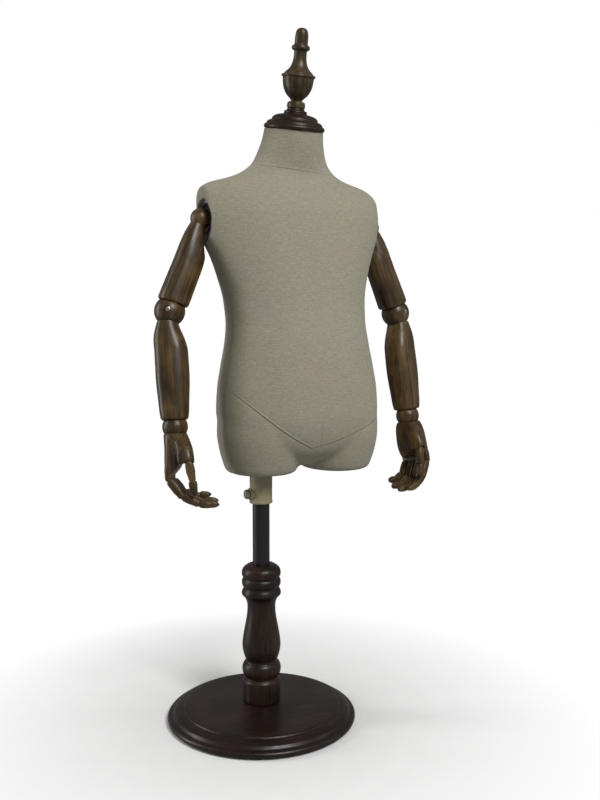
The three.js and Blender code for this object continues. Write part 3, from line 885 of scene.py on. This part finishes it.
def torso():
    form = body_form()
    for name, side in SIDES.items():
        low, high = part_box(name + "_armhole_plate")
        inner, outer = low.x / MM, high.x / MM
        if side < 0:
            inner, outer = outer, inner
        middle, half_y, half_z = armhole(name)
        stations = [(inner, 0.9), (inner + side * 0.6, 0.4), (outer - side * 0.6, 0.3), (outer, 0.9)]
        board = through_rows(name + "_armhole_board", oval_rows(middle, half_y, half_z, stations))
        pivot = Vector(JOINTS[name + "_shoulder_swing"]["pos_m"])
        bore = turned(
            "bore",
            [(0.1, -20), (CUP_R + SKIN_GAP, -20), (CUP_R + SKIN_GAP, 20), (0.1, 20)],
            placed_at((inner * MM, pivot.y, pivot.z), (side, 0, 0), UP),
            64,
            soft=False,
        )
        carved(board, bore)
        dress(board, "torso", grey_board, "grey_board", name + "_armhole_plate")

    mesh = form.data
    draw_in_seams(mesh)
    flatten_shoulders(mesh)
    open_armholes(form)
    mesh = form.data
    tilt = math.radians(NECK_TILT)
    cut_away(mesh, NECK_TOP, (0, -math.sin(tilt), math.cos(tilt)))
    work = bmesh.new()
    work.from_mesh(mesh)
    sleeve_hole(work)
    work.to_mesh(mesh)
    work.free()
    store_seams(mesh)
    form.name = "linen_skin"
    shade(form, 60)
    thick = form.modifiers.new("thickness", "SOLIDIFY")
    thick.thickness = COVER * MM * 0.6
    thick.offset = -1
    applied(form)
    dress(form, "torso", linen, "linen", "linen_cover")

    core = frame["nodes"]["torso_core"]
    core.data.materials.clear()
    core.data.materials.append(core_foam)


# ---- neck cap and finial ----
def neck_top():
    place = Matrix.Translation(NECK_TOP * MM) @ Matrix.Rotation(math.radians(NECK_TILT), 4, "X")
    cap = [
        (8, 0.3), (41, 0.3), (43.6, 0.9), (44.6, 2.6), (44.5, 4.6), (43.4, 6.6),
        (41.6, 7.6), (40.9, 8.9), (40.4, 10.2), (37.6, 12.4), (34.6, 13.4), (33.7, 14.1),
        (33.6, 15.4), (32.4, 17.4), (29.4, 19.8), (25.0, 21.4), (20.6, 22.4), (17.4, 23.2),
        (16.6, 24.2), (16.8, 25.8), (16.0, 27.2), (13.4, 28.0), (12.8, 28.8), (12.8, 30.4),
        (12.2, 31.0), (5, 31.0),
    ]
    dress(turned("neck_cap_turned", cap, place, 112), "torso", dark_wood, "dark_wood", "neck_cap")
    finial = [
        (4, 30), (4, 31.3), (12.6, 31.3), (13.2, 32.2), (13.2, 35.6), (12.7, 38.6),
        (10.6, 40.0), (8.2, 40.6), (8.0, 41.6), (11, 44.8), (16.4, 50.4), (20.4, 58.5),
        (22.2, 67.0), (22.5, 72.0), (22.8, 73.2), (24.2, 73.7), (24.8, 75.2), (24.2, 76.7),
        (21.6, 77.6), (20.4, 79.2), (13.8, 86), (10.6, 93), (9.3, 101), (9.2, 108.4),
        (10.2, 109.6), (12.6, 110.8), (13.1, 113.2), (12.4, 115.8), (10.2, 117.0),
        (9.6, 118.4), (9.6, 124), (9.2, 131), (8.0, 136.0), (5.4, 139.0), (2.4, 139.9),
        (0.4, 140.0),
    ]
    dress(turned("finial_urn", finial, place, 96), "torso", finial_wood, "finial_wood", "finial")


# ---- arms ----
def limb(name, table, place, balls, sides=48, step=2.2):
    """A limb through rows of (place, half x, half y, roundness, x, y), cupped for (place, radius) balls."""
    table = np.asarray(table, float)
    heights = np.arange(table[0, 0], table[-1, 0], step)
    heights = sorted({round(float(h), 3) for h in [*heights, *table[:, 0]]})
    rows = [
        np.column_stack([section(hx, hy, power, sides, (cx, cy)), np.full(sides, s)])
        for s, hx, hy, power, cx, cy in zip(heights, *eased_table(table, heights))
    ]
    made = through_rows(name, rows, place, 40)
    for centre, radius in balls:
        at = place @ Matrix.Translation((0, 0, centre * MM))
        carved(made, turned("cup", ball_outline(radius + BALL_GAP), at, 64, soft=False))
    return made


def ball_outline(radius, first=-90.0, steps=28):
    """Outline of a ball from the angle first up to its top."""
    angles = [math.radians(first + (90.0 - first) * i / steps) for i in range(steps + 1)]
    return [(max(radius * math.cos(a), 0.02), radius * math.sin(a)) for a in angles]


# rows of a limb: place along it, half sizes, roundness and middle; X is towards the body for the
# upper arm and towards the palm for the rest, and Y of the hand is towards the thumb
UPPER_ARM = [
    (8.5, 10.4, 11.5, 2.2, -1.4, 0),
    (16, 12, 13, 2.3, -1.6, 0),
    (27, 14.8, 15.2, 2.4, -0.8, 0),
    (37, 16.6, 16.8, 2.4, 0, 0),
    (44, 18.4, 17.8, 2.4, 1.2, 0),
    (52, 20.2, 18.8, 2.4, 2.8, 0),
    (62, 21, 19.6, 2.4, 3.2, 0),
    (92, 21.6, 20.6, 2.4, 1.9, 0),
]
FOREARM = [
    (15, 14.5, 16.5, 2.4, -4, 0),
    (24, 17.2, 18, 2.5, -4, 0),
    (36, 20.8, 20, 2.6, -3, 0),
    (46, 22.6, 21.2, 2.6, -1.6, 0),
    (56, 23.3, 21.8, 2.6, -0.4, 0),
    (90, 23.5, 22.5, 2.6, 0, 0),
    (128, 21.4, 21, 2.5, 0, 0),
]
PALM = [
    (9.5, 16.6, 17, 2.3, 0, 0),
    (16, 15.8, 20.5, 2.6, -0.4, 0),
    (30, 13.6, 23.6, 3, -1.8, 0),
    (46, 12.6, 24.6, 3.2, -3.2, 0),
    (56, 10.4, 24.6, 3.4, -5.4, 0),
    (63, 7, 24.4, 5, -8.6, 0),
]
THUMB_BALL = [
    (11, 9, 10, 2.4, 8.2, 6),
    (20, 10.6, 11, 2.6, 10.6, 13),
    (34, 11.6, 12, 2.8, 14.2, 21),
    (46, 11.8, 11.4, 3, 15.6, 24.4),
    (52.4, 11, 10.8, 3.2, 16.2, 24.8),
]
FINGER_W = 11.2
FINGER_T = 12.5
HAND_VOXEL = 0.9


def finger_rows(length, half_width, half_thick, start, end, sides=28):
    """Rows of a finger piece from its own hinge at 0 to its end. X is its thickness, Y its width."""
    cup_r = KNUCKLE_R + 0.55
    rows = []
    if start == "cup":
        for a in (4, 16, 28, 40, 50):
            t = math.radians(a)
            rows.append((cup_r * math.cos(t), cup_r * math.sin(t), half_width - 0.5))
        rows.append((3.7, half_thick - 1.35, half_width - 0.4))
        rows.append((4.5, half_thick - 0.75, half_width - 0.05))
        rows.append((6.0, half_thick - 0.25, half_width))
    else:
        for a in (80, 60, 40, 20):
            t = math.radians(a)
            rows.append((-5.6 * math.sin(t), 5.6 * math.cos(t), half_width - 0.6 + 0.5 * math.cos(t)))
        rows.append((0, half_thick - 0.4, half_width))
    rows.append((9, half_thick, half_width))
    if end == "tip":
        for a in (0, 12, 24, 36, 48, 60, 71, 81):
            t = math.radians(a)
            thick = (half_thick - 0.6) * math.cos(t) ** 1.35
            wide = (half_width - 0.2) * math.cos(t) ** 0.9
            rows.append((length - 10.4 + 10 * math.sin(t), max(thick, 0.3), max(wide, 0.5)))
    else:
        rows.append((length - 8.5, half_thick - 0.2, half_width))
        rows.append((length - 5.0, half_thick - 0.75, half_width - 0.05))
        rows.append((length - 3.0, KNUCKLE_R + 0.1, half_width - 0.1))
        for a in (0, 18, 36, 54, 70, 84):
            t = math.radians(a)
            wide = half_width - 0.2 - 0.5 * math.sin(t) ** 4
            rows.append((length + KNUCKLE_R * math.sin(t), KNUCKLE_R * math.cos(t), wide))
    return [
        np.column_stack([section(thick, wide, 3.4, sides), np.full(sides, s)])
        for s, thick, wide in rows
    ]


def reach_of(node, origin, axis):
    """Direction and length of a CAD finger piece from its hinge, square to the hinge axis."""
    co = np.array([v.co for v in frame["nodes"][node].data.vertices], float) - np.array(origin)
    middle = Vector(0.5 * (co.min(0) + co.max(0)))
    spread = Vector(co.mean(0))
    along = spread if spread.length > middle.length else middle
    along = (along - axis * along.dot(axis)).normalized()
    return along, float((co @ np.array(along)).max())


def shoulder(name, side, centre):
    """The black cup in the plate, and the ball on its stub."""
    base = min(abs(corner.x / MM - TORSO_MIDDLE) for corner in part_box(name + "_shoulder_cup"))
    rim = max(abs(corner.x / MM - TORSO_MIDDLE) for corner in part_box(name + "_shoulder_cup"))
    outline = [
        (0.05, base), (17, base), (CUP_R, base + 5), (CUP_R, rim - 1.5),
        (CUP_R + 1.7, rim - 1.5), (CUP_R + 1.7, rim), (CUP_R - 0.6, rim),
        (CUP_R - 1.1, rim - 1), (CUP_R - 1.1, base + 9), (12, base + 2), (0.05, base + 2),
    ]
    middle = placed_at((TORSO_MIDDLE * MM, centre.y, centre.z), (side, 0, 0), UP)
    cup = turned(name + "_shoulder_socket", outline, middle, 96)
    dress(cup, "torso", cup_steel, "black_steel", name + "_shoulder_cup")

    start = base + 2 + SKIN_GAP - abs(centre.x / MM - TORSO_MIDDLE)
    first = -math.degrees(math.acos(STUB_R / SHOULDER_BALL_R))
    outline = [(0.05, start), (STUB_R, start), *ball_outline(SHOULDER_BALL_R, first)]
    knob_at = placed_at(centre, (side, 0, 0), UP)
    knob = turned(name + "_shoulder_knob", outline, knob_at, 80, soft=False)
    dress(knob, name + "_shoulder_ball", arm_wood, "arm_wood", name + "_shoulder_ball")


def elbow_ball(name, side, centre, hinge, upper):
    """The elbow's ball, with its slotted screw sunk in a seat."""
    pin = placed_at(centre, hinge * -side, upper)
    ball_at = placed_at(centre, upper, hinge)
    ball = turned(name + "_elbow_knob", ball_outline(ELBOW_BALL_R), ball_at, 96, soft=False)
    seat = [(0.1, 17.4), (SEAT_R, 17.4), (SEAT_R, 30), (0.1, 30)]
    carved(ball, turned("seat", seat, pin, 48, soft=False))
    dress(ball, name + "_elbow_ball", arm_wood, "arm_wood", name + "_elbow_ball")
    head = [(0.1, 17.7), (4.4, 17.7), (4.4, 19.6), (3.9, 20.5), (2.4, 20.95), (0.1, 21.0)]
    screw = turned(name + "_elbow_screw_head", head, pin, 48)
    slot = Matrix.Translation((0, 0, 21.0 * MM))
    # A known fault: block() takes millimetres, so this slot comes out too small to see.
    carved(screw, block("slot_cut", (0.0011, 0.012, 0.0016), pin @ slot))
    dress(screw, name + "_elbow_ball", screw_steel, "bright_steel", name + "_elbow_screw")


def palm(name, hand, knuckle, thumb):
    """The palm and the ball of the thumb as one carved piece, in the frame of the hand."""
    back, knuckles = knuckle.x / MM, knuckle.z / MM
    table = [*PALM, (knuckles - 5, KNUCKLE_R - 0.2, 24.2, 6, back, 0)]
    table.append((knuckles, KNUCKLE_R, 24.1, 6, back, 0))
    for a in (15, 30, 45, 60, 74):
        t = math.radians(a)
        place, thick = knuckles + KNUCKLE_R * math.sin(t), KNUCKLE_R * math.cos(t)
        table.append((place, thick, 24 - 0.5 * a / 90, 6, back, 0))
    flat = limb(name + "_palm_carved", table, Matrix(), (), 64, 1.5)
    ball = limb("thumb_ball", THUMB_BALL, Matrix(), (), 48, 1.5)
    work = bmesh.new()
    work.from_mesh(flat.data)
    work.from_mesh(ball.data)
    work.to_mesh(flat.data)
    work.free()
    bpy.data.objects.remove(ball)
    remesh = flat.modifiers.new("remesh", "REMESH")
    remesh.mode = "VOXEL"
    remesh.voxel_size = HAND_VOXEL * MM
    applied(flat)
    smoothed(flat.data, 4)
    flat.matrix_world = hand
    carved(flat, turned("cup", ball_outline(WRIST_BALL_R + BALL_GAP), hand, 64, soft=False))
    groove = placed_at(hand @ thumb, hand.to_3x3() @ Vector((0, 1, 0)), hand.to_3x3() @ UP)
    r = KNUCKLE_R + 1.1
    ends = (-0.5 * FINGER_W - 0.4, 30)
    outline = [(0.1, ends[0]), (r, ends[0]), (r, ends[1]), (0.1, ends[1])]
    carved(flat, turned("groove", outline, groove, 64, soft=False))
    dress(flat, name + "_palm", arm_wood, "arm_wood", name + "_palm")


def fingers(name, at, curl, palmar):
    """The finger pieces, each from its own hinge to the next one."""
    labels = {label: ("proximal", "middle", "distal") for label in ("index", "middle", "ring", "little")}
    labels["thumb"] = ("proximal", "distal")
    for label, parts in labels.items():
        for i, part in enumerate(parts):
            node = f"{name}_{label}_{part}"
            origin = at(f"{label}_{part}_bend")
            last = i == len(parts) - 1
            if last:
                along, length = reach_of(node, origin, curl)
            else:
                there = at(f"{label}_{parts[i + 1]}_bend")
                along, length = (there - origin).normalized(), (there - origin).length
            start = "round" if label == "thumb" and i == 0 else "cup"
            end = "tip" if last else "barrel"
            rows = finger_rows(length / MM, 0.5 * FINGER_W, 0.5 * FINGER_T - 0.3 * i, start, end)
            towards = along.cross(curl)
            if towards.dot(palmar) < 0:
                towards = -towards
            piece = through_rows(node + "_carved", rows, placed_at(origin, along, towards), 45)
            dress(piece, node, arm_wood, "arm_wood", node)


def arm(name):
    side = SIDES[name]
    at = lambda joint: Vector(JOINTS[f"{name}_{joint}"]["pos_m"])
    axis_of = lambda joint: Vector(JOINTS[f"{name}_{joint}"]["axis"]).normalized()
    top, elbow, wrist = at("shoulder_swing"), at("elbow_bend"), at("wrist_bend")
    upper, lower = (elbow - top).normalized(), (wrist - elbow).normalized()
    hinge, curl = axis_of("elbow_bend"), axis_of("wrist_bend")
    palmar = curl.cross(lower)
    upper_length = (elbow - top).length / MM
    lower_length = (wrist - elbow).length / MM

    shoulder(name, side, top)
    end = upper_length
    table = [*UPPER_ARM, (end - 15.5, 22, 21.6, 2.4, 0.4, 0), (end - 13, 20.6, 20.4, 2.4, 0.3, 0)]
    upper_at = placed_at(top, upper, (-side, 0, 0))
    piece = limb(name + "_upper_arm_turned", table, upper_at, ((0, SHOULDER_BALL_R), (end, ELBOW_BALL_R)))
    dress(piece, name + "_upper_arm", arm_wood, "arm_wood", name + "_upper_arm")

    elbow_ball(name, side, elbow, hinge, upper)
    end = lower_length
    table = [*FOREARM, (end - 12.5, 19.3, 19.3, 2.4, 0, 0), (end - 10, 17.8, 17.8, 2.3, 0, 0)]
    lower_at = placed_at(elbow, lower, palmar)
    piece = limb(name + "_forearm_turned", table, lower_at, ((0, ELBOW_BALL_R), (end, WRIST_BALL_R)))
    dress(piece, name + "_forearm", arm_wood, "arm_wood", name + "_forearm")

    knob_at = placed_at(wrist, lower, palmar)
    knob = turned(name + "_wrist_knob", ball_outline(WRIST_BALL_R), knob_at, 80, soft=False)
    dress(knob, name + "_wrist_ball", arm_wood, "arm_wood", name + "_wrist_ball")

    thumb = at("thumb_proximal_bend")
    across = curl if (thumb - wrist).dot(curl) > 0 else -curl
    hand = Matrix.Translation(wrist) @ Matrix((palmar, across, lower)).transposed().to_4x4()
    to_hand = hand.inverted()
    palm(name, hand, to_hand @ at("index_proximal_bend"), to_hand @ thumb)
    fingers(name, at, curl, palmar)


# ---- light, floor and camera ----
def studio():
    world = bpy.data.worlds.new("studio")
    bpy.context.scene.world = world
    world.use_nodes = True
    nodes, links = world.node_tree.nodes, world.node_tree.links
    lit = nodes["Background"]
    lit.inputs["Color"].default_value = (1.0, 0.99, 0.97, 1)
    lit.inputs["Strength"].default_value = 0.22
    seen = nodes.new("ShaderNodeBackground")
    seen.inputs["Color"].default_value = (1, 1, 1, 1)
    seen.inputs["Strength"].default_value = 1.0
    path = nodes.new("ShaderNodeLightPath")
    mix = nodes.new("ShaderNodeMixShader")
    links.new(path.outputs["Is Camera Ray"], mix.inputs[0])
    links.new(lit.outputs[0], mix.inputs[1])
    links.new(seen.outputs[0], mix.inputs[2])
    links.new(mix.outputs[0], nodes["World Output"].inputs["Surface"])

    def softbox(name, place, target, size, watts):
        light = bpy.data.lights.new(name, "AREA")
        light.shape = "RECTANGLE"
        light.size, light.size_y = size
        light.energy = watts
        obj = bpy.data.objects.new(name, light)
        bpy.context.scene.collection.objects.link(obj)
        obj.location = place
        obj.rotation_euler = (Vector(target) - Vector(place)).to_track_quat("-Z", "Y").to_euler()

    softbox("key", (0.25, -2.3, 2.4), (0.05, 0, 0.85), (1.1, 1.1), 70)
    softbox("strip_left", (-1.9, 0.9, 0.9), (0, 0, 0.6), (0.4, 1.8), 20)
    softbox("strip_right", (1.9, -0.9, 1.0), (0.1, 0, 0.6), (0.4, 1.8), 3)

    floor = mesh_object("floor", [(-12, -12, 0), (12, -12, 0), (12, 12, 0), (-12, 12, 0)], [(0, 1, 2, 3)])
    g = Graph("studio_floor")
    distance = g.node("ShaderNodeVectorMath", {0: g.place}, operation="LENGTH").outputs["Value"]
    far = g.node(
        "ShaderNodeMapRange", {"Value": distance, "From Min": 0.16, "From Max": 0.5}
    ).outputs[0]
    grain = g.noise(g.place, 30.0, 2.0)
    seen = g.node("ShaderNodeLightPath").outputs["Is Camera Ray"]
    pale = g.ramp(grain, (0.3, (0.93, 0.93, 0.93)), (0.7, (0.96, 0.96, 0.96)))
    g.shader(Base_Color=g.mixed(seen, (0.42, 0.42, 0.42), pale), Roughness=0.8)
    far = g.math("MULTIPLY", far, seen)
    white = g.node("ShaderNodeEmission", {"Color": (1, 1, 1, 1), "Strength": 1.0}).outputs[0]
    mix = g.node("ShaderNodeMixShader", {0: far, 1: g.surface.outputs[0], 2: white})
    g.links.new(mix.outputs[0], g.nodes["Material Output"].inputs["Surface"])
    floor.data.materials.append(g.material)
    bpy.context.scene.view_settings.view_transform = "Standard"


def camera():
    azimuth, pitch = math.radians(25), math.radians(4.6)
    level = math.cos(pitch)
    look = Vector((math.sin(azimuth) * level, math.cos(azimuth) * level, -math.sin(pitch)))
    made = bpy.data.objects.new("camera", bpy.data.cameras.new("camera"))
    bpy.context.scene.collection.objects.link(made)
    made.location = (-0.4872, -1.1802, 0.5777)
    made.rotation_euler = look.to_track_quat("-Z", "Y").to_euler()
    made.data.lens = 39.6
    made.data.sensor_width = 36
    made.data.sensor_fit = "AUTO"
    made.data.clip_start, made.data.clip_end = 0.05, 60
    bpy.context.scene.camera = made


camera()
studio()
stand()
sleeve()
torso()
neck_top()
for arm_name in ("right", "left"):
    arm(arm_name)
